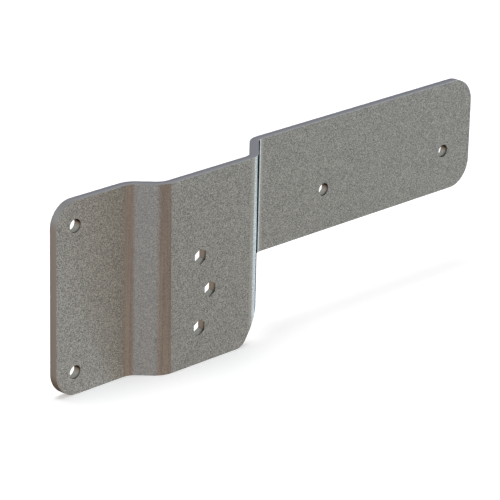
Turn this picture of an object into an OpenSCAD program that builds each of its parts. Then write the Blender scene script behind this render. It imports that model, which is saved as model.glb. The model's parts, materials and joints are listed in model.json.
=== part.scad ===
// Mirror mounting bracket: one blank of steel plate, cut out flat and folded twice over in a step.
// The end panel bolts to the vehicle, the middle panel stands forward of it,
// and the long arm behind them carries the mirror.

/* [Plate] */
// Thickness of the plate
thick = 4.76; // [3:0.01:6]
// Inside radius of all four folds
fold_r = 8; // [5:0.5:10]
// Height of the end panel and the middle panel
height = 101.6; // [90:0.1:125]

/* [End panel] */
// Flat length of the end panel, from its free end to the first fold
end_flat = 44.8; // [38:0.1:60]
// Radius of the end panel's two corners
end_corner_r = 13; // [5:0.5:15]
// Diameter of the end panel's bolt holes
end_hole_d = 7; // [5:0.1:9]
// Distance of the bolt holes from the free end
end_hole_in = 12.3; // [10:0.1:20]
// Height of the lower bolt hole above the bottom edge
end_hole_low = 12; // [10:0.1:25]
// Depth of the upper bolt hole below the top edge
end_hole_top = 13; // [10:0.1:25]

/* [Middle panel] */
// Flat length of the middle panel, between its two folds
mid_flat = 53.9; // [45:0.1:75]
// Step from the end panel forward to the middle panel
end_step = 12.7; // [11:0.1:18]
// Angle of the folds on the end panel's side
end_fold = 45; // [35:1:50]
// Width of the hexagonal holes across their flats
hex_flats = 7.4; // [5:0.1:10]
// Distance of the upper and lower hexagonal holes from the start of the middle panel
hex_in = 18.9; // [14:0.1:26]
// Sideways distance of the middle hexagonal hole from the other two
hex_side = 7.2; // [0:0.1:12]
// Height of the lowest hexagonal hole above the bottom edge
hex_low = 19.5; // [14:0.1:26]
// Height between neighbouring hexagonal holes
hex_pitch = 19.1; // [14:0.1:26]

/* [Arm] */
// Flat length of the arm, from the last fold to its free end
arm_flat = 164.5; // [140:0.5:220]
// Height of the arm, down from the common top edge
arm_h = 62; // [50:0.5:70]
// Step from the middle panel back to the arm
arm_step = 19.05; // [14:0.05:25]
// Angle of the folds on the arm's side
arm_fold = 45; // [35:1:50]
// Radius of the arm's two corners
arm_corner_r = 14.5; // [5:0.5:18]
// Diameter of the arm's bolt holes
arm_hole_d = 7; // [5:0.1:9]
// Distance of the outer bolt hole from the free end
arm_hole_in = 21.9; // [14:0.1:30]
// Distance between the arm's two bolt holes
arm_hole_gap = 95.7; // [60:0.1:105]
// Height of the arm's bolt holes above its bottom edge
arm_hole_up = 23; // [15:0.5:30]

/* [Tapered edge] */
// Lean of the edge that rises from the middle panel to the arm, from upright
taper = 30; // [15:1:40]
// Distance of the sharp foot of the tapered edge before the third fold
taper_in = 3.5; // [0:0.1:10]
// Radius that rounds the foot of the tapered edge
foot_r = 8; // [2:0.5:9]
// Radius that rounds the throat between the tapered edge and the arm
throat_r = 8; // [2:0.5:9]

/* [Hidden] */
$fn = 96;
steel = [0.53, 0.53, 0.51];
// Radius of the middle of the plate in a fold
mid_r = fold_r + thick / 2;
// Height of the arm's bottom edge
arm_low = height - arm_h;
// How far a cutter runs past what it cuts
past = 1;
// By how much a fold's cylinders bite into the flats beside them, so that they meet without a ledge
bite = 0.001;
// Angle by which a fold's outer half runs on inside the flats beside it
run_on = 3;
// Length of one step of the lower edge where it is cut in steps
edge_step = 0.6;

// Length along the flat blank that one fold takes up
function fold_length(fold) = mid_r * fold * PI / 180;
// Straight length between the two folds of a step
function riser(step, fold) = (step - 2 * mid_r * (1 - cos(fold))) / sin(fold);
// Length along the flat blank that a whole step takes up
function step_length(step, fold) = 2 * fold_length(fold) + riser(step, fold);

// Places along the flat blank, measured from the free end of the end panel
mid_from = end_flat + step_length(end_step, end_fold);
mid_to = mid_from + mid_flat;
arm_from = mid_to + step_length(arm_step, arm_fold);
blank_l = arm_from + arm_flat;

// The four folds: where each starts along the blank, and its turn, positive towards the back
folds = [
    [end_flat, -end_fold],
    [mid_from - fold_length(end_fold), end_fold],
    [mid_to, arm_fold],
    [arm_from - fold_length(arm_fold), -arm_fold]
];

// Middle of the folded plate seen from above, [x, y, heading], at a place s along the blank
function walk(s, i = 0, from = 0, at = [0, 0, 0]) =
    let (upto = i < len(folds) ? min(s, folds[i][0]) : s,
        p = at + (upto - from) * [cos(at.z), sin(at.z), 0])
    upto == s ? p :
    let (turn = folds[i][1], whole = fold_length(abs(turn)), share = min(1, (s - upto) / whole),
        q = bent(p, sign(turn), share * abs(turn)))
    share < 1 ? q : walk(s, i + 1, upto + whole, q);
function bent(p, way, angle) =
    let (h = p.z + way * angle)
    [p.x + way * mid_r * (sin(h) - sin(p.z)), p.y - way * mid_r * (cos(h) - cos(p.z)), h];

// Point beside the middle of the plate, towards the back for a positive distance
function beside(s, away) = let (p = walk(s)) [p.x - away * sin(p.z), p.y + away * cos(p.z)];

// Sharp foot and sharp throat of the tapered edge on the flat blank, and the centres that round them
foot = [mid_to - taper_in, 0];
throat = [foot.x + arm_low * tan(taper), arm_low];
foot_c = [foot.x - foot_r * tan(45 - taper / 2), foot_r];
throat_c = [throat.x + throat_r * tan(45 - taper / 2), arm_low - throat_r];

// Height of the blank's lower edge at a place along it
function low_edge(s) =
    s <= foot_c.x ? 0 :
    s <= foot_c.x + foot_r * cos(taper) ? foot_r - sqrt(foot_r ^ 2 - (s - foot_c.x) ^ 2) :
    s <= throat_c.x - throat_r * cos(taper) ? (s - foot.x) / tan(taper) :
    s <= throat_c.x ? throat_c.y + sqrt(throat_r ^ 2 - (throat_c.x - s) ^ 2) :
    arm_low;

// Ring from radius r1 to r2 over a fold's whole turn and a little more, in the plan
module fold_ring(from, turn, r1, r2) {
    side = sign(turn) * mid_r;
    centre = beside(from, side);
    reach = 2 * r2;
    heading = walk(from).z - sign(turn) * 90;
    angles = [for (share = [0, 0.5, 1]) heading + share * turn + (share - 0.5) * 2 * sign(turn) * run_on];
    translate(centre) intersection() {
        difference() {
            circle(r2);
            circle(r1);
        }
        polygon(concat([[0, 0]], [for (a = angles) reach * [cos(a), sin(a)]]));
    }
}

// The folded plate seen from above, flat stretches first and then the folds' cylinders
module plan() {
    marks = concat([0], [for (f = folds) for (s = [f[0], f[0] + fold_length(abs(f[1]))]) s], [blank_l]);
    last = len(marks) - 1;
    difference() {
        union() {
            polygon(concat([for (s = marks) beside(s, -thick / 2)],
                [for (i = [last:-1:0]) beside(marks[i], thick / 2)]));
            for (f = folds) fold_ring(f[0], f[1], mid_r, fold_r + thick + bite);
        }
        for (f = folds) translate(beside(f[0], sign(f[1]) * mid_r)) circle(fold_r + bite);
    }
}

// Waste below the lower edge, swept along the folded plate from the foot to the arm's end
module edge_waste() {
    steps = ceil((max(throat_c.x, arm_from) - foot_c.x) / edge_step) + 1;
    stations = [for (i = [0:steps]) foot_c.x + (i - 0.5) * edge_step, blank_l + past];
    away = thick / 2 + past;
    points = [for (i = [0:len(stations) - 1])
        let (s = stations[i], z = i == 0 ? -low_edge(stations[1]) : low_edge(s),
            back = beside(s, away), front = beside(s, -away))
        each [[back.x, back.y, -past], [front.x, front.y, -past], [front.x, front.y, z], [back.x, back.y, z]]];
    last = len(points) - 4;
    sides = [for (i = [0:4:last - 4]) for (k = [0:3]) let (n = (k + 1) % 4)
        each [[i + k, i + n, i + 4 + n], [i + k, i + 4 + n, i + 4 + k]]];
    polyhedron(points, concat([[0, 3, 2, 1], [last, last + 1, last + 2, last + 3]], sides));
}

// Stands a shape drawn in x and z upright and runs it through the whole depth of the bracket
module through() {
    depth = end_step + arm_step + 2 * thick;
    translate([0, depth / 2, 0]) rotate([90, 0, 0]) linear_extrude(depth) children();
}

// What a rounded corner leaves, the corner at the origin and the plate towards +X and +Y
module corner_waste(r) {
    difference() {
        translate([-past, -past]) square(r + past);
        translate([r, r]) circle(r);
    }
}

// The end panel's corners and its bolt holes
module end_cuts() {
    corner_waste(end_corner_r);
    translate([0, height]) mirror([0, 1]) corner_waste(end_corner_r);
    for (z = [end_hole_low, height - end_hole_top])
        translate([end_hole_in, z]) circle(d = end_hole_d);
}

// Three hexagonal holes with upright flats, the middle one set towards the arm
module hex_cuts() {
    for (i = [0:2])
        translate([walk(mid_from).x + hex_in + (i == 1 ? hex_side : 0), hex_low + i * hex_pitch])
            rotate(30) circle(d = hex_flats / cos(30), $fn = 6);
}

// The arm's corners and its bolt holes, drawn from its free end
module arm_cuts() {
    translate([walk(blank_l).x, arm_low]) mirror([1, 0]) {
        corner_waste(arm_corner_r);
        translate([0, arm_h]) mirror([0, 1]) corner_waste(arm_corner_r);
        for (x = [arm_hole_in, arm_hole_in + arm_hole_gap])
            translate([x, arm_hole_up]) circle(d = arm_hole_d);
    }
}

// The origin is midway between the end panel's bolt holes, on its back face
module bracket() {
    hole_mid_z = (end_hole_low + height - end_hole_top) / 2;
    color(steel) translate([-end_hole_in, -thick / 2, -hole_mid_z]) difference() {
        linear_extrude(height) plan();
        edge_waste();
        through() end_cuts();
        through() hex_cuts();
        through() arm_cuts();
    }
}

bracket();
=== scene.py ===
"""Looks of a mirror mounting bracket: one blank of steel plate, folded in two steps."""

import json
import logging
import math
from dataclasses import dataclass, field
from enum import Enum
from typing import Any

import bmesh
import bpy
from mathutils import Matrix, Vector


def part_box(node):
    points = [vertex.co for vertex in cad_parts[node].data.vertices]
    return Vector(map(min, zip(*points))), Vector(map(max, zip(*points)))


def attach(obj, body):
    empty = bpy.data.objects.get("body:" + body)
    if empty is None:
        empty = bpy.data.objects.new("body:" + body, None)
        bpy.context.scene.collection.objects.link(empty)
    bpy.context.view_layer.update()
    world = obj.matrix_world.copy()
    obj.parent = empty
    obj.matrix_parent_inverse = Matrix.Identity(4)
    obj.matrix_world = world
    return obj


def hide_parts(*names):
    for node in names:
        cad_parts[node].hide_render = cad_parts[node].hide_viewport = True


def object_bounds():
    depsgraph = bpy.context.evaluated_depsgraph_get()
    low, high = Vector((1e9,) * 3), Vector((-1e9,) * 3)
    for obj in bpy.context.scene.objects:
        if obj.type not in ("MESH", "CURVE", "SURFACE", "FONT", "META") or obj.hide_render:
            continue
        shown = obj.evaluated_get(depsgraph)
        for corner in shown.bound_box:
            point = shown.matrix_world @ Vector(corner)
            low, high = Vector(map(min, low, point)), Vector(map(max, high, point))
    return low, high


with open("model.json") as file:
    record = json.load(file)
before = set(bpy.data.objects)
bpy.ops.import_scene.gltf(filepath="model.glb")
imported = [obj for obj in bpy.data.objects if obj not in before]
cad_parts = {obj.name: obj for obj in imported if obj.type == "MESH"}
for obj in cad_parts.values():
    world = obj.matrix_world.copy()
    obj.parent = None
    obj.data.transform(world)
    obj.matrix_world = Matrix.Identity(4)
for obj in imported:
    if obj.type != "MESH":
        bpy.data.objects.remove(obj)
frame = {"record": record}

log = logging.getLogger("bracket")
# A millimetre in metres
MM = 0.001
# The CAD model's box, kept from before anything is added
CAD_LOW, CAD_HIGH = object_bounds()
# Kinds of node that are used again and again
MATH, SPAN, MIX = "ShaderNodeMath", "ShaderNodeMapRange", "ShaderNodeMix"
RAMP = "ShaderNodeValToRGB"


class Side(Enum):
    """Which way a fold turns the plate, seen from above."""

    FRONT = -1
    BACK = 1


def linear(hex_colour: str) -> tuple[float, float, float, float]:
    """Turns an sRGB hex colour into the linear colour that the shaders take.

    Args:
        hex_colour: The colour as #rrggbb.

    Returns:
        Linear red, green and blue, with an alpha of 1.
    """
    parts = [int(hex_colour[i : i + 2], 16) / 255 for i in (1, 3, 5)]
    low, high = [c / 12.92 for c in parts], [((c + 0.055) / 1.055) ** 2.4 for c in parts]
    red, green, blue = [a if c <= 0.04045 else b for c, a, b in zip(parts, low, high)]
    return red, green, blue, 1.0


def add_node(tree: Any, kind: str, inputs: Any = (), **settings: Any) -> Any:
    """Adds a node to a tree, with its settings, values and links.

    Args:
        tree: The node tree.
        kind: The node's type name.
        inputs: What its inputs take, as a list in their order, or by name or number. Each is a
            value, an output to link, or a node whose first output is linked.
        settings: Properties of the node itself.

    Returns:
        The new node.
    """
    node = tree.nodes.new(kind)
    for name, value in settings.items():
        setattr(node, name, value)
    taken = inputs if isinstance(inputs, dict) else dict(enumerate(inputs))
    for key, value in taken.items():
        if isinstance(value, bpy.types.Node):
            value = value.outputs[0]
        if isinstance(value, bpy.types.NodeSocket):
            tree.links.new(value, node.inputs[key])
        else:
            node.inputs[key].default_value = value
    return node


def set_stops(ramp: Any, stops: Any) -> None:
    """Sets the stops of a colour ramp.

    Args:
        ramp: The ramp's node, fresh from add_node.
        stops: Each stop's place and its linear colour, in order.
    """
    elements = ramp.color_ramp.elements
    for element, (place, colour) in zip(elements, (stops[0], stops[-1])):
        element.position, element.color = place, colour
    for place, colour in stops[1:-1]:
        elements.new(place).color = colour


def add_socket(tree: Any, name: str, kind: str, output: bool = False) -> Any:
    """Adds a named input or output to a node tree and returns it."""
    way = "OUTPUT" if output else "INPUT"
    return tree.interface.new_socket(name=name, in_out=way, socket_type=kind)


@dataclass(frozen=True)
class Fold:
    """One fold of the plate."""

    start: float
    side: Side


@dataclass
class PlateSizes:
    """Sizes of the bracket, in metres and radians."""

    thickness: float = 4.76 * MM
    fold_radius: float = 8 * MM
    fold_angle: float = math.radians(45)
    end_flat: float = 44.8 * MM
    middle_flat: float = 53.9 * MM
    arm_height: float = 62 * MM
    end_corner: float = 13 * MM
    arm_corner: float = 14.5 * MM
    taper: float = math.radians(30)
    taper_before_fold: float = 3.5 * MM
    foot_radius: float = 8 * MM
    throat_radius: float = 8 * MM
    hex_flats: float = 7.4 * MM
    edge_round: float = 0.12 * MM
    low: Vector = field(default_factory=lambda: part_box("bracket")[0])
    high: Vector = field(default_factory=lambda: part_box("bracket")[1])

    def __post_init__(self) -> None:
        """Works out the steps and the places along the flat blank."""
        self.height = self.high.z - self.low.z
        middle_back = self.low.y + self.thickness
        self.middle_radius = self.fold_radius + self.thickness / 2
        self.fold_length = self.middle_radius * self.fold_angle
        end_riser = self.riser(-middle_back)
        arm_riser = self.riser(self.high.y - middle_back)
        self.middle_start = self.end_flat + 2 * self.fold_length + end_riser
        self.middle_end = self.middle_start + self.middle_flat
        self.arm_start = self.middle_end + 2 * self.fold_length + arm_riser
        self.middle_x = self.low.x + self.end_flat + self.reach(end_riser)
        arm_x = self.middle_x + self.middle_flat + self.reach(arm_riser)
        self.length = self.arm_start + self.high.x - arm_x
        self.folds = [
            Fold(self.end_flat, Side.FRONT),
            Fold(self.middle_start - self.fold_length, Side.BACK),
            Fold(self.middle_end, Side.BACK),
            Fold(self.arm_start - self.fold_length, Side.FRONT),
        ]

    def riser(self, step: float) -> float:
        """Straight length between the two folds of a step of the given depth."""
        rounds = 2 * self.middle_radius * (1 - math.cos(self.fold_angle))
        return (step - rounds) / math.sin(self.fold_angle)

    def reach(self, riser: float) -> float:
        """Length along the bracket that a step with the given riser takes up."""
        rounds = 2 * self.middle_radius * math.sin(self.fold_angle)
        return rounds + riser * math.cos(self.fold_angle)


@dataclass
class Blank:
    """The flat blank, with its corners rounded and its holes cut, and then folded."""

    sizes: PlateSizes
    mounts: dict[str, dict]
    corner_step: float = math.radians(5)
    fold_columns: int = 24
    hole_points: int = 48
    sharp_angle: float = math.radians(50)
    # How far from a hole's middle a face still belongs to its bore
    bore_reach: float = 5 * MM
    weld_distance: float = 0.001 * MM
    cut_distance: float = 0.0001 * MM
    # How squarely a face of the flat blank looks to the front or the back, if it is a broad one
    broad_facing: float = 0.999

    def rounded(self, corners: list[tuple[float, float, float]]) -> list[Vector]:
        """Rounds the corners of a closed outline.

        Args:
            corners: Each corner's place along the blank, its height and its radius.

        Returns:
            The points of the rounded outline.
        """
        points = []
        for i, (x, y, radius) in enumerate(corners):
            tip = Vector((x, y))
            before = (Vector(corners[i - 1][:2]) - tip).normalized()
            after = (Vector(corners[(i + 1) % len(corners)][:2]) - tip).normalized()
            half = before.angle(after) / 2
            centre = tip + (before + after).normalized() * radius / math.sin(half)
            start = tip + before * radius / math.tan(half) - centre
            end = tip + after * radius / math.tan(half) - centre
            turn = -start.angle_signed(end)
            steps = max(2, round(abs(turn) / self.corner_step))
            for k in range(steps + 1):
                points.append(centre + Matrix.Rotation(turn * k / steps, 2) @ start)
        return points

    def ring(self, x: float, y: float, radius: float, points: int) -> list[Vector]:
        """Points of a round hole, or of a hexagon with its tips up and down."""
        angles = [math.tau * (k / points + 0.25) for k in range(points)]
        return [Vector((x + radius * math.cos(a), y + radius * math.sin(a))) for a in angles]

    def outlines(self) -> list[list[Vector]]:
        """Draws the outline and the holes on the flat blank.

        Returns:
            Closed loops of points, the outline first.
        """
        s = self.sizes
        arm_low = s.height - s.arm_height
        foot = s.middle_end - s.taper_before_fold
        throat = foot + arm_low * math.tan(s.taper)
        loops = [
            self.rounded(
                [
                    (0, 0, s.end_corner),
                    (foot, 0, s.foot_radius),
                    (throat, arm_low, s.throat_radius),
                    (s.length, arm_low, s.arm_corner),
                    (s.length, s.height, s.arm_corner),
                    (0, s.height, s.end_corner),
                ]
            )
        ]
        for name, start_x, start in (
            ("end_bolts", s.low.x, 0.0),
            ("arm_bolts", s.high.x, s.length),
            ("hex_hole_top", s.middle_x, s.middle_start),
            ("hex_hole_middle", s.middle_x, s.middle_start),
            ("hex_hole_bottom", s.middle_x, s.middle_start),
        ):
            mount = self.mounts[name]
            x = start + mount["pos_m"][0] - start_x
            y = mount["pos_m"][2] - s.low.z
            dims = mount["dims"]
            if "count" not in dims:
                loops.append(self.ring(x, y, s.hex_flats / 2 / math.cos(math.pi / 6), 6))
                continue
            dx, dy = (dims.get(k, 0) * MM / 2 for k in ("spacing_x_mm", "spacing_y_mm"))
            radius = dims["hole_r_mm"] * MM
            for way in (-1, 1):
                loops.append(self.ring(x + way * dx, y + way * dy, radius, self.hole_points))
        return loops

    def flat_mesh(self) -> bpy.types.Mesh:
        """Makes the flat blank a closed solid with softly broken edges.

        Returns:
            The mesh, cut in columns where it will bend and with its bores marked.
        """
        s = self.sizes
        curve = bpy.data.curves.new("blank_outline", "CURVE")
        curve.dimensions = "2D"
        curve.fill_mode = "BOTH"
        curve.extrude = s.thickness / 2 - s.edge_round
        curve.bevel_depth = s.edge_round
        curve.bevel_resolution = 1
        curve.offset = -s.edge_round
        loops = self.outlines()
        for loop in loops:
            spline = curve.splines.new("POLY")
            spline.points.add(len(loop) - 1)
            spline.points.foreach_set("co", [v for p in loop for v in (p.x, p.y, 0, 1)])
            spline.use_cyclic_u = True
        drawn = bpy.data.objects.new("blank_outline", curve)
        bpy.context.scene.collection.objects.link(drawn)
        depsgraph = bpy.context.evaluated_depsgraph_get()
        mesh = bpy.data.meshes.new_from_object(drawn.evaluated_get(depsgraph))
        bpy.data.objects.remove(drawn)
        bpy.data.curves.remove(curve)
        mesh.transform(Matrix.Rotation(math.pi / 2, 4, "X"))
        self.cut_columns(mesh)
        centres = [sum(loop, Vector((0, 0))) / len(loop) for loop in loops[1:]]
        bores = mesh.attributes.new("bore", "FLOAT", "FACE").data
        for face in mesh.polygons:
            away = min((face.center.xz - centre).length for centre in centres)
            bores[face.index].value = float(away < self.bore_reach)
        return mesh

    def cut_columns(self, mesh: bpy.types.Mesh) -> None:
        """Closes the seams of the mesh and cuts it across wherever it will bend.

        Args:
            mesh: The flat blank.
        """
        s = self.sizes
        form = bmesh.new()
        form.from_mesh(mesh)
        bmesh.ops.remove_doubles(form, verts=form.verts, dist=self.weld_distance)
        for fold in s.folds:
            for k in range(self.fold_columns + 1):
                place = fold.start + s.fold_length * k / self.fold_columns
                bmesh.ops.bisect_plane(
                    form,
                    geom=form.verts[:] + form.edges[:] + form.faces[:],
                    dist=self.cut_distance,
                    plane_co=(place, 0, 0),
                    plane_no=(1, 0, 0),
                )
        bmesh.ops.dissolve_degenerate(form, edges=form.edges, dist=self.cut_distance)
        bmesh.ops.triangulate(form, faces=[f for f in form.faces if len(f.verts) > 4])
        bmesh.ops.recalc_face_normals(form, faces=form.faces)
        for edge in form.edges:
            edge.smooth = edge.calc_face_angle(math.pi) < self.sharp_angle
        form.to_mesh(mesh)
        form.free()

    def fold_group(self) -> bpy.types.NodeTree:
        """Builds the node group that bends all that lies past a line round the fold's axis.

        Returns:
            The group. It also notes which faces a fold takes in, and how far the plate leans.
        """
        tree = bpy.data.node_groups.new("fold_once", "GeometryNodeTree")
        add_socket(tree, "Geometry", "NodeSocketGeometry", output=True)
        add_socket(tree, "Geometry", "NodeSocketGeometry")
        for name in ("Fold start", "Side", "Fold angle", "Middle radius"):
            add_socket(tree, name, "NodeSocketFloat")
        given = add_node(tree, "NodeGroupInput").outputs
        start, side, angle, radius = given[1:5]
        place = add_node(tree, "GeometryNodeInputPosition")
        x, y, z = add_node(tree, "ShaderNodeSeparateXYZ", [place]).outputs
        past = add_node(tree, MATH, [x, start], operation="SUBTRACT")
        arc = add_node(tree, MATH, [radius, angle], operation="MULTIPLY")
        past_end = add_node(tree, MATH, [past, arc], operation="SUBTRACT")
        # The fold's own stretch shrinks to its start, and the rest keeps its distance to it
        before = add_node(tree, MATH, [past, 0.0], operation="MINIMUM")
        after = add_node(tree, MATH, [past_end, 0.0], operation="MAXIMUM")
        kept = add_node(tree, MATH, [before, after], operation="ADD")
        held = add_node(tree, MATH, [start, kept], operation="ADD")
        # What lies in the fold turns by its share of the angle, what lies past it by all of it
        turned = add_node(tree, MATH, [past, radius], operation="DIVIDE")
        turned = add_node(tree, MATH, [turned, 0.0], operation="MAXIMUM")
        turned = add_node(tree, MATH, [turned, angle], operation="MINIMUM")
        turned = add_node(tree, MATH, [turned, side], operation="MULTIPLY")
        away = add_node(tree, MATH, [radius, side], operation="MULTIPLY")
        turn = {
            "Vector": add_node(tree, "ShaderNodeCombineXYZ", [held, y, z]),
            "Center": add_node(tree, "ShaderNodeCombineXYZ", [start, away]),
            "Angle": turned,
        }
        bent = add_node(tree, "ShaderNodeVectorRotate", turn, rotation_type="Z_AXIS")
        lean, fold = [
            add_node(tree, "GeometryNodeInputNamedAttribute", [name]) for name in ("lean", "fold")
        ]
        begun = add_node(tree, MATH, [past, 0.0], operation="GREATER_THAN")
        ended = add_node(tree, MATH, [past_end, 0.0], operation="LESS_THAN")
        within = add_node(tree, MATH, [begun, ended], operation="MULTIPLY")
        folded = add_node(tree, MATH, [fold, within], operation="MAXIMUM")
        leant = add_node(tree, MATH, [lean, turned], operation="ADD")
        note = "GeometryNodeStoreNamedAttribute"
        noted = {"Geometry": given[0], "Name": "fold", "Value": folded}
        noted = add_node(tree, note, noted, domain="FACE")
        noted = add_node(tree, note, {"Geometry": noted, "Name": "lean", "Value": leant})
        moved = {"Geometry": noted, "Position": bent}
        add_node(tree, "NodeGroupOutput", [add_node(tree, "GeometryNodeSetPosition", moved)])
        return tree

    def fold_tree(self) -> bpy.types.NodeTree:
        """Builds the Geometry Nodes tree that folds the flat blank and sets it in its place.

        Returns:
            The tree, with the folds' sizes, the bracket's place and the steel as its inputs.
        """
        tree = bpy.data.node_groups.new("folded_plate", "GeometryNodeTree")
        add_socket(tree, "Geometry", "NodeSocketGeometry", output=True)
        add_socket(tree, "Geometry", "NodeSocketGeometry")
        for name in ("Fold angle", "Middle radius"):
            add_socket(tree, name, "NodeSocketFloat")
        for k in range(len(self.sizes.folds)):
            add_socket(tree, f"Fold {k + 1} start", "NodeSocketFloat")
        add_socket(tree, "Place", "NodeSocketVector")
        add_socket(tree, "Steel", "NodeSocketMaterial")
        given = add_node(tree, "NodeGroupInput").outputs
        normal = add_node(tree, "GeometryNodeInputNormal")
        _, facing, upward = add_node(tree, "ShaderNodeSeparateXYZ", [normal]).outputs
        place = add_node(tree, "GeometryNodeInputPosition")
        # What the steel reads later: the flat blank's own ways and places, and the folds' marks
        work = given["Geometry"]
        for name, domain, kind, value in (
            ("facing", "FACE", "FLOAT", facing),
            ("upward", "FACE", "FLOAT", upward),
            ("sheet", "POINT", "FLOAT_VECTOR", place),
            ("fold", "FACE", "FLOAT", 0.0),
            ("lean", "POINT", "FLOAT", 0.0),
        ):
            work = add_node(
                tree,
                "GeometryNodeStoreNamedAttribute",
                {"Geometry": work, "Name": name, "Value": value},
                data_type=kind,
                domain=domain,
            )
        # The last fold comes first, so that each fold still finds what lies before it flat
        group = self.fold_group()
        for k, fold in reversed(list(enumerate(self.sizes.folds))):
            bend = {
                "Geometry": work,
                "Fold start": given[f"Fold {k + 1} start"],
                "Side": fold.side.value,
                "Fold angle": given["Fold angle"],
                "Middle radius": given["Middle radius"],
            }
            work = add_node(tree, "GeometryNodeGroup", bend, node_tree=group)
        placed = {"Geometry": work, "Translation": given["Place"]}
        work = add_node(tree, "GeometryNodeTransform", placed)
        work = add_node(tree, "GeometryNodeSetShadeSmooth", [work])
        work = add_node(tree, "GeometryNodeRealizeInstances", [work])
        dressed = {"Geometry": work, "Material": given["Steel"]}
        add_node(tree, "NodeGroupOutput", [add_node(tree, "GeometryNodeSetMaterial", dressed)])
        return tree

    def build(self, steel: bpy.types.Material) -> bpy.types.Object:
        """Folds the blank into the bracket.

        Args:
            steel: The plate's material.

        Returns:
            The bracket as a plain mesh object at the origin.
        """
        s = self.sizes
        flat = bpy.data.objects.new("flat_blank", self.flat_mesh())
        bpy.context.scene.collection.objects.link(flat)
        tree = self.fold_tree()
        values = {
            "Fold angle": s.fold_angle,
            "Middle radius": s.middle_radius,
            "Place": (s.low.x, -s.thickness / 2, s.low.z),
            "Steel": steel,
        }
        for k, fold in enumerate(s.folds):
            values[f"Fold {k + 1} start"] = fold.start
        modifier = flat.modifiers.new("fold", "NODES")
        modifier.node_group = tree
        for item in tree.interface.items_tree:
            if item.item_type == "SOCKET" and item.in_out == "INPUT" and item.name in values:
                modifier[item.identifier] = values[item.name]
        depsgraph = bpy.context.evaluated_depsgraph_get()
        mesh = bpy.data.meshes.new_from_object(flat.evaluated_get(depsgraph))
        bpy.data.objects.remove(flat)
        self.even_normals(mesh)
        plate = bpy.data.objects.new("folded_plate", mesh)
        bpy.context.scene.collection.objects.link(plate)
        return plate

    def even_normals(self, mesh: bpy.types.Mesh) -> None:
        """Gives the broad faces the exact normals of flats and cylinders.

        Args:
            mesh: The folded plate.
        """
        facing = [d.value for d in mesh.attributes["facing"].data]
        lean = [d.value for d in mesh.attributes["lean"].data]
        normals = [Vector((0, 0, 0))] * len(mesh.loops)
        for face in mesh.polygons:
            if abs(facing[face.index]) < self.broad_facing:
                continue
            for i in face.loop_indices:
                angle = lean[mesh.loops[i].vertex_index]
                way = Vector((-math.sin(angle), math.cos(angle), 0))
                normals[i] = way if facing[face.index] > 0 else -way
        mesh.normals_split_custom_set(normals)


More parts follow.
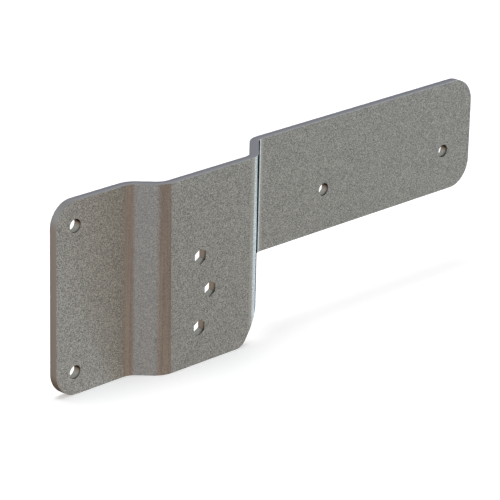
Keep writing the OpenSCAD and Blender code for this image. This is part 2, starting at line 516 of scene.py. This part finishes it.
@dataclass(frozen=True)
class PlateSteel:
    """Bare steel plate with a fine blasted grain, laser cut and then folded."""

    name: str = "blasted_steel_plate"
    # Blasting leaves a matt grey whose specks sparkle a little. They are drawn somewhat coarser
    # than real, so that they show
    face: str = "#868f94"
    grain_light: str = "#abb1b0"
    grain_dark: str = "#5c6262"
    grain: float = 0.37 * MM
    grain_span: tuple[float, float] = (0.32, 0.68)
    grain_roughness: float = 0.37
    # Painted reflection: the slope between the first two folds is painted bluer by the way it
    # leans, with fainter specks
    riser: str = "#8b919b"
    riser_share: float = 0.4
    riser_from: float = math.radians(-31.5)
    riser_lean: float = math.radians(-45)
    # Painted shade: the end panel is painted lighter far from its fold, and darker and browner
    # towards it, where the fold shades it and shows in it. The two are factors on the grain's
    # colour, far from the fold and at it
    far_painted_light: tuple[float, float, float] = (1.115, 1.125, 1.14)
    fold_painted_shade: tuple[float, float, float] = (0.90, 0.83, 0.76)
    fold_shade_from: tuple[float, float] = (32 * MM, -22 * MM)
    fold_shade_to: float = 45 * MM
    plate_height: float = 101.6 * MM
    # The tool rubs the first two folds smooth and streaky. Their brown is a painted reflection of
    # the warm surroundings they face
    smooth: str = "#7f766f"
    streak: str = "#6e6560"
    streak_width: float = 1.0 * MM
    streak_length: float = 60 * MM
    streak_span: tuple[float, float] = (0.35, 0.65)
    fold_colour_from_lean: float = math.radians(-30)
    brown_to: tuple[float, float] = (70.1 * MM, 69.0 * MM)
    # The later two are painted brighter, most of all on their crown: partly a painted highlight,
    # partly the lamps' own highlight on the smooth steel
    crown: str = "#9ba4a5"
    crown_past: float = 100 * MM
    fold_colour_shares: tuple[float, float] = (0.72, 0.45)
    # How smooth it leaves a fold, by the share of the way from the first lean to the last
    polish_leans: tuple[float, float] = (math.radians(-45), math.radians(45))
    polish: tuple[tuple[float, float], ...] = (
        (0.0, 0),
        (0.167, 1),
        (0.499, 1),
        (0.501, 0),
        (0.54, 0),
        (0.63, 1),
        (1.0, 1),
    )
    smooth_roughness: float = 0.22
    # Painted shade: a dark line is painted beside the arm's slope, in the fold's inner corner where
    # shade falls
    crease_shade: str = "#1f272d"
    crease_shade_leans: tuple[float, float] = (math.radians(27), math.radians(36))
    crease_shade_past: float = 142 * MM
    crease_shade_wider: float = math.radians(10)
    # The laser leaves smooth grey edges. In the bores, painted shade darkens the walls, darkest on
    # the upper wall that faces down
    cut: str = "#828180"
    cut_roughness: float = 0.3
    bore_painted_shade: tuple[tuple[float, str], ...] = (
        (0.25, "#383430"),
        (0.5, "#837f79"),
        (0.85, "#84837c"),
    )
    # At a flat angle the steel mirrors a bluish grey, not white
    edge_tint: str = "#9a9da6"
    # Above this a face looks to the front or the back squarely enough to be a broad one
    broad_facing: float = 0.9

    def carried(self, tree: Any) -> dict[str, Any]:
        """Reads what the plate's mesh carries.

        Args:
            tree: The material's node tree.

        Returns:
            Each value by its name: the place on the flat blank, the lean, the fold and the ways
            that the faces look.
        """
        names = ("sheet", "lean", "fold", "facing", "upward", "bore")
        read = {n: add_node(tree, "ShaderNodeAttribute", attribute_name=n).outputs for n in names}
        on = {name: outputs["Fac"] for name, outputs in read.items()}
        on["sheet"] = read["sheet"]["Vector"]
        on["along"], _, on["up"] = add_node(tree, "ShaderNodeSeparateXYZ", [on["sheet"]]).outputs
        on["later"] = add_node(tree, MATH, [on["along"], self.crown_past], operation="GREATER_THAN")
        return on

    def grained(self, tree: Any, on: dict[str, Any]) -> Any:
        """Colours the blasted grain with light and dark specks, and paints the first slope bluer as
        a painted reflection.

        Args:
            tree: The material's node tree.
            on: What the plate's mesh carries.

        Returns:
            The grain's colour.
        """
        noise = {"Vector": on["sheet"], "Scale": 1 / self.grain, "Detail": 1.0, "Roughness": 0.5}
        specks = add_node(tree, RAMP, [add_node(tree, "ShaderNodeTexNoise", noise)])
        dark, light = self.grain_span
        colours = [linear(c) for c in (self.grain_dark, self.face, self.grain_light)]
        set_stops(specks, list(zip((dark, (dark + light) / 2, light), colours)))
        # Painted reflection: the first slope is painted bluer by its lean
        slope = [on["lean"], self.riser_from, self.riser_lean, 0, self.riser_share]
        sloped = add_node(tree, SPAN, slope, interpolation_type="SMOOTHSTEP")
        mixed = {0: sloped, 6: specks, 7: linear(self.riser)}
        return add_node(tree, MIX, mixed, data_type="RGBA").outputs[2]

    def fold_shaded(self, tree: Any, on: dict[str, Any], grained: Any) -> Any:
        """Paints shade on the end panel towards its fold, further from it at the top than below,
        and paints it lighter far from the fold.

        Args:
            tree: The material's node tree.
            on: What the plate's mesh carries.
            grained: The grain's colour.

        Returns:
            The grain's colour with the painted shade and light.
        """
        fold_shade_from = add_node(tree, SPAN, [on["up"], 0, self.plate_height, *self.fold_shade_from])
        nearer = add_node(tree, SPAN, [on["along"], fold_shade_from, self.fold_shade_to])
        mixed = {0: nearer, 6: (*self.far_painted_light, 1), 7: (*self.fold_painted_shade, 1)}
        fold_painted_shade = add_node(tree, MIX, mixed, data_type="RGBA").outputs[2]
        before = add_node(tree, MATH, [on["along"], self.fold_shade_to], operation="LESS_THAN")
        mixed = {0: before, 6: grained, 7: fold_painted_shade}
        return add_node(tree, MIX, mixed, data_type="RGBA", blend_type="MULTIPLY").outputs[2]

    def painted_folds(self, tree: Any, on: dict[str, Any]) -> Any:
        """Colours the folds: a painted brown reflection with streaks on the first two, and on the
        later two a brighter colour that is partly a painted highlight.

        Args:
            tree: The material's node tree.
            on: What the plate's mesh carries.

        Returns:
            The folds' colour: painted brown reflection with streaks, or on the later two the
            brighter crown colour, partly a painted highlight.
        """
        stretch = (1 / self.streak_width, 1 / self.streak_width, 1 / self.streak_length)
        drawn = add_node(tree, "ShaderNodeVectorMath", [on["sheet"], stretch], operation="MULTIPLY")
        noise = {"Vector": drawn, "Scale": 1.0, "Detail": 2.0}
        streaks = [add_node(tree, "ShaderNodeTexNoise", noise), *self.streak_span]
        share = add_node(tree, SPAN, streaks, interpolation_type="SMOOTHSTEP")
        mixed = {0: share, 6: linear(self.streak), 7: linear(self.smooth)}
        painted_brown = add_node(tree, MIX, mixed, data_type="RGBA").outputs[2]
        mixed = {0: on["later"], 6: painted_brown, 7: linear(self.crown)}
        return add_node(tree, MIX, mixed, data_type="RGBA").outputs[2]

    def polished(self, tree: Any, on: dict[str, Any]) -> Any:
        """Finds how smooth a fold is rubbed, by how far the plate leans there.

        Args:
            tree: The material's node tree.
            on: What the plate's mesh carries.

        Returns:
            A share: the first two folds are smooth from the flat on, the others on their crown.
        """
        polish = add_node(tree, RAMP, [add_node(tree, SPAN, [on["lean"], *self.polish_leans])])
        set_stops(polish, [(place, (much,) * 3 + (1,)) for place, much in self.polish])
        return polish

    def crease_shaded(self, tree: Any, on: dict[str, Any]) -> Any:
        """Finds where the dark line of painted shade goes, beside the arm's slope.

        Args:
            tree: The material's node tree.
            on: What the plate's mesh carries.

        Returns:
            The painted shade's share: on the front of the third fold, and wider on the fourth.
        """
        past = add_node(tree, MATH, [on["along"], self.crease_shade_past], operation="GREATER_THAN")
        wider = [past, self.crease_shade_wider, on["lean"]]
        turned = [add_node(tree, MATH, wider, operation="MULTIPLY_ADD"), *self.crease_shade_leans]
        share = add_node(tree, SPAN, turned, interpolation_type="SMOOTHSTEP")
        share = add_node(tree, MATH, [share, on["fold"]], operation="MULTIPLY")
        front = add_node(tree, MATH, [on["facing"], -self.broad_facing], operation="LESS_THAN")
        return add_node(tree, MATH, [share, front], operation="MULTIPLY")

    def edges(self, tree: Any, on: dict[str, Any]) -> Any:
        """Colours the cut edges, and paints shade in the bores, darkest on their upper walls.

        Args:
            tree: The material's node tree.
            on: What the plate's mesh carries.

        Returns:
            The edges' colour.
        """
        # Painted shade in the bores, by how far each wall faces down
        bore_shade = add_node(tree, RAMP, [add_node(tree, SPAN, [on["upward"], -1, 1])])
        set_stops(bore_shade, [(place, linear(colour)) for place, colour in self.bore_painted_shade])
        mixed = {0: on["bore"], 6: linear(self.cut), 7: bore_shade}
        return add_node(tree, MIX, mixed, data_type="RGBA").outputs[2]

    def build(self) -> bpy.types.Material:
        """Makes the steel.

        Returns:
            The material.
        """
        material = bpy.data.materials.new(self.name)
        material.use_nodes = True
        tree = material.node_tree
        tree.nodes.clear()
        on = self.carried(tree)
        # The second fold's smooth band and its painted brown reflection stop a little short of the
        # fold's end, more so at the top
        brown_to = add_node(tree, SPAN, [on["up"], 0, self.plate_height, *self.brown_to])
        marked = add_node(tree, MATH, [on["along"], brown_to], operation="LESS_THAN")
        marked = add_node(tree, MATH, [marked, on["later"]], operation="MAXIMUM")
        marked = add_node(tree, MATH, [marked, on["fold"]], operation="MULTIPLY")
        begun = add_node(tree, SPAN, [on["lean"], self.riser_lean, self.fold_colour_from_lean])
        begun = add_node(tree, MATH, [marked, begun], operation="MULTIPLY")
        most = [on["later"], 0, 1, *self.fold_colour_shares]
        most = add_node(tree, SPAN, most, interpolation_type="SMOOTHSTEP")
        shaded = add_node(tree, SPAN, [begun, 0, 1, 0, most], interpolation_type="SMOOTHSTEP")
        # The grain, with painted shade on the end panel towards its fold and painted light far from
        # it
        grained = self.fold_shaded(tree, on, self.grained(tree, on))
        # The folds take their painted brown reflection, or their brighter colour that is partly a
        # painted highlight
        mixed = {0: shaded, 6: grained, 7: self.painted_folds(tree, on)}
        colour = add_node(tree, MIX, mixed, data_type="RGBA").outputs[2]
        # A painted dark line of shade in the crease beside the arm's slope
        crease_shaded = self.crease_shaded(tree, on)
        mixed = {0: crease_shaded, 6: colour, 7: linear(self.crease_shade)}
        colour = add_node(tree, MIX, mixed, data_type="RGBA").outputs[2]
        # The broad faces carry all that, and the cut edges their own look
        broad = add_node(tree, MATH, [on["facing"]], operation="ABSOLUTE")
        broad = add_node(tree, MATH, [broad, self.broad_facing], operation="GREATER_THAN")
        mixed = {0: broad, 6: self.edges(tree, on), 7: colour}
        colour = add_node(tree, MIX, mixed, data_type="RGBA").outputs[2]
        smooth = add_node(tree, MATH, [marked, self.polished(tree, on)], operation="MULTIPLY")
        smooth = [smooth, 0, 1, self.grain_roughness, self.smooth_roughness]
        rough = add_node(tree, SPAN, smooth, interpolation_type="SMOOTHSTEP")
        rough = add_node(tree, MIX, {0: broad, 2: self.cut_roughness, 3: rough})
        # The painted shade also darkens the reflection at a flat angle
        mixed = {0: crease_shaded, 6: linear(self.edge_tint), 7: linear(self.crease_shade)}
        tint = add_node(tree, MIX, mixed, data_type="RGBA").outputs[2]
        look = {"Base Color": colour, "Metallic": 1.0, "Roughness": rough, "Specular Tint": tint}
        steel = add_node(tree, "ShaderNodeBsdfPrincipled", look)
        add_node(tree, "ShaderNodeOutputMaterial", [steel])
        return material


@dataclass(frozen=True)
class PhotoCamera:
    """The camera that sees the bracket as the photograph does."""

    place: tuple[float, float, float] = (-0.87840, -0.97935, 0.52262)
    yaw: float = math.radians(45.721)
    pitch: float = math.radians(20.692)
    roll: float = math.radians(1.366)
    focal_pixels: float = 2893.48
    picture_pixels: float = 500
    sensor: float = 36.0
    near: float = 0.01
    far: float = 100.0

    def build(self) -> bpy.types.Object:
        """Makes the camera and sets it as the scene's.

        Returns:
            The camera.
        """
        ahead = Vector(
            (
                math.sin(self.yaw) * math.cos(self.pitch),
                math.cos(self.yaw) * math.cos(self.pitch),
                -math.sin(self.pitch),
            )
        )
        right = Vector((math.cos(self.yaw), -math.sin(self.yaw), 0))
        up = right.cross(ahead)
        c, s = math.cos(self.roll), math.sin(self.roll)
        right, up = c * right + s * up, c * up - s * right
        data = bpy.data.cameras.new("camera")
        data.sensor_width = self.sensor
        data.lens = self.focal_pixels / self.picture_pixels * self.sensor
        data.clip_start, data.clip_end = self.near, self.far
        camera = bpy.data.objects.new("camera", data)
        turned = Matrix((right, up, -ahead)).transposed().to_4x4()
        camera.matrix_world = Matrix.Translation(self.place) @ turned
        bpy.context.scene.collection.objects.link(camera)
        bpy.context.scene.camera = camera
        return camera


@dataclass(frozen=True)
class Lamp:
    """A soft rectangular lamp that only metal sees.

    Its brightness is how bright its surface looks, where 1 is white.
    """

    name: str
    colour: str
    place: tuple[float, float, float]
    aim: tuple[float, float, float]
    size: tuple[float, float]
    brightness: float

    def build(self) -> bpy.types.Object:
        """Hangs the lamp.

        Returns:
            The lamp.
        """
        data = bpy.data.lights.new(self.name, "AREA")
        data.shape = "RECTANGLE"
        data.size, data.size_y = self.size
        data.energy = self.brightness * math.pi * self.size[0] * self.size[1]
        data.color = linear(self.colour)[:3]
        lamp = bpy.data.objects.new(self.name, data)
        lamp.location = self.place
        ahead = Vector(self.aim) - Vector(self.place)
        lamp.rotation_euler = ahead.to_track_quat("-Z", "Y").to_euler()
        lamp.visible_camera = False
        lamp.visible_diffuse = False
        bpy.context.scene.collection.objects.link(lamp)
        return lamp


@dataclass(frozen=True)
class PaleFloor:
    """A matt pale floor, white to the camera, that still takes a soft shadow."""

    name: str = "pale_floor"
    colour: str = "#e8e8e8"
    # What the camera sees besides the light on the floor, so that it ends up white
    glow: float = 0.45

    def build(self) -> bpy.types.Material:
        """Makes the floor's finish.

        Returns:
            The material.
        """
        material = bpy.data.materials.new(self.name)
        material.use_nodes = True
        tree = material.node_tree
        tree.nodes.clear()
        matt = add_node(tree, "ShaderNodeBsdfDiffuse", {"Color": linear(self.colour)})
        camera_ray = add_node(tree, "ShaderNodeLightPath").outputs["Is Camera Ray"]
        strength = add_node(tree, MATH, [camera_ray, self.glow], operation="MULTIPLY")
        glow = add_node(tree, "ShaderNodeEmission", {"Strength": strength})
        both = add_node(tree, "ShaderNodeAddShader", [matt, glow])
        add_node(tree, "ShaderNodeOutputMaterial", [both])
        return material


@dataclass(frozen=True)
class Surroundings:
    """The room round the bracket: white to the camera, cool above and warm below to metal."""

    name: str = "studio"
    # How bright the room is to matt things, where the camera sees 1
    room_light: float = 0.4
    # What metal sees, from straight below to straight above
    rise: tuple[tuple[float, tuple[float, float, float, float]], ...] = (
        (0.08, (0.62, 0.42, 0.28, 1)),
        (0.32, (1.0, 0.84, 0.72, 1)),
        (0.48, (1.05, 1.0, 0.95, 1)),
        (0.62, (1.25, 1.25, 1.25, 1)),
        (0.72, (1.22, 1.23, 1.27, 1)),
        (1.0, (1.0, 1.0, 1.03, 1)),
    )
    # A dark corner of the room, low behind at the right: which way, how wide and its colour
    corner: tuple[float, float, float] = (0.737, 0.576, -0.353)
    corner_cosines: tuple[float, float] = (0.99, 0.955)
    corner_colour: tuple[float, float, float, float] = (0.03, 0.04, 0.05, 1)

    def build(self) -> bpy.types.World:
        """Makes the surroundings and sets them as the scene's.

        Returns:
            The world.
        """
        world = bpy.data.worlds.new(self.name)
        world.use_nodes = True
        tree = world.node_tree
        tree.nodes.clear()
        path = add_node(tree, "ShaderNodeLightPath").outputs
        way = add_node(tree, "ShaderNodeTexCoord").outputs["Generated"]
        height = add_node(tree, "ShaderNodeSeparateXYZ", [way]).outputs[2]
        rise = add_node(tree, RAMP, [add_node(tree, SPAN, [height, -1, 1])])
        set_stops(rise, self.rise)
        turned = add_node(tree, "ShaderNodeVectorMath", [way, self.corner], operation="DOT_PRODUCT")
        clear = [turned.outputs["Value"], *self.corner_cosines]
        clear = add_node(tree, SPAN, clear, interpolation_type="SMOOTHSTEP")
        mixed = {0: clear, 6: self.corner_colour, 7: rise}
        seen = add_node(tree, MIX, mixed, data_type="RGBA").outputs[2]
        seen = add_node(tree, "ShaderNodeBackground", {"Color": seen})
        plain = add_node(tree, SPAN, [path["Is Camera Ray"], 0, 1, self.room_light, 1])
        plain = add_node(tree, "ShaderNodeBackground", {"Strength": plain})
        rays = [path["Is Glossy Ray"], path["Is Transmission Ray"]]
        metal = add_node(tree, MATH, rays, operation="MAXIMUM")
        both = add_node(tree, "ShaderNodeMixShader", [metal, plain, seen])
        add_node(tree, "ShaderNodeOutputWorld", [both])
        bpy.context.scene.world = world
        return world


@dataclass
class Studio:
    """The floor, the surroundings and the soft lamps."""

    floor_size: float = 40.0
    lamps: tuple[Lamp, ...] = (
        # The two strips make the bright band on the third fold
        Lamp("right_strip", "#f7f9f7", (1.303, -0.168, 0), (0.117, -0.012, 0), (0.49, 3), 1.75),
        Lamp("further_strip", "#f0faff", (1.289, 0.226, 0), (0.117, -0.012, 0), (0.31, 3), 4.4),
        # The window shows in the top edge, which is paler and cooler than the face
        Lamp("cool_window", "#f4f8ff", (1.44, 1.31, 0.71), (0.1, 0, 0), (1.3, 1.3), 0.6),
    )
    daylight_energy: float = 1.9
    daylight_angle: float = math.radians(40)
    daylight_way: tuple[float, float, float] = (0.04, -0.22, -1.8)

    def build(self, low: Vector) -> None:
        """Makes the studio.

        Args:
            low: The lowest corner of the object that stands in it.
        """
        self.floor(low.z)
        Surroundings().build()
        for lamp in self.lamps:
            lamp.build()
        self.daylight()

    def daylight(self) -> bpy.types.Object:
        """Adds the soft light from above that gives the floor its shadow.

        Returns:
            The lamp.
        """
        data = bpy.data.lights.new("soft_daylight", "SUN")
        data.energy, data.angle = self.daylight_energy, self.daylight_angle
        lamp = bpy.data.objects.new("soft_daylight", data)
        lamp.rotation_euler = Vector(self.daylight_way).to_track_quat("-Z", "Y").to_euler()
        lamp.visible_camera = False
        lamp.visible_glossy = False
        bpy.context.scene.collection.objects.link(lamp)
        return lamp

    def floor(self, height: float) -> bpy.types.Object:
        """Lays the floor.

        Args:
            height: Its height.

        Returns:
            The floor.
        """
        form = bmesh.new()
        bmesh.ops.create_grid(form, x_segments=1, y_segments=1, size=self.floor_size / 2)
        mesh = bpy.data.meshes.new("floor")
        form.to_mesh(mesh)
        form.free()
        mesh.transform(Matrix.Translation((0, 0, height)))
        mesh.materials.append(PaleFloor().build())
        floor = bpy.data.objects.new("floor", mesh)
        bpy.context.scene.collection.objects.link(floor)
        # Metal sees the surroundings instead, and the strips' lower halves shine through
        floor.visible_glossy = False
        floor.visible_shadow = False
        return floor


def main() -> None:
    """Builds the studio, the camera and the bracket in order."""
    logging.basicConfig(level=logging.INFO, format="%(name)s: %(message)s")
    scene = bpy.context.scene
    scene.view_settings.view_transform = "Standard"
    Studio().build(CAD_LOW)
    PhotoCamera().build()
    mounts = {m["name"]: m for m in frame["record"]["mounts"]}
    plate = Blank(PlateSizes(), mounts).build(PlateSteel().build())
    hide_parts("bracket")
    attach(plate, "root")
    log.info("%s: %d faces", plate.name, len(plate.data.polygons))


if __name__ == "__main__":
    main()
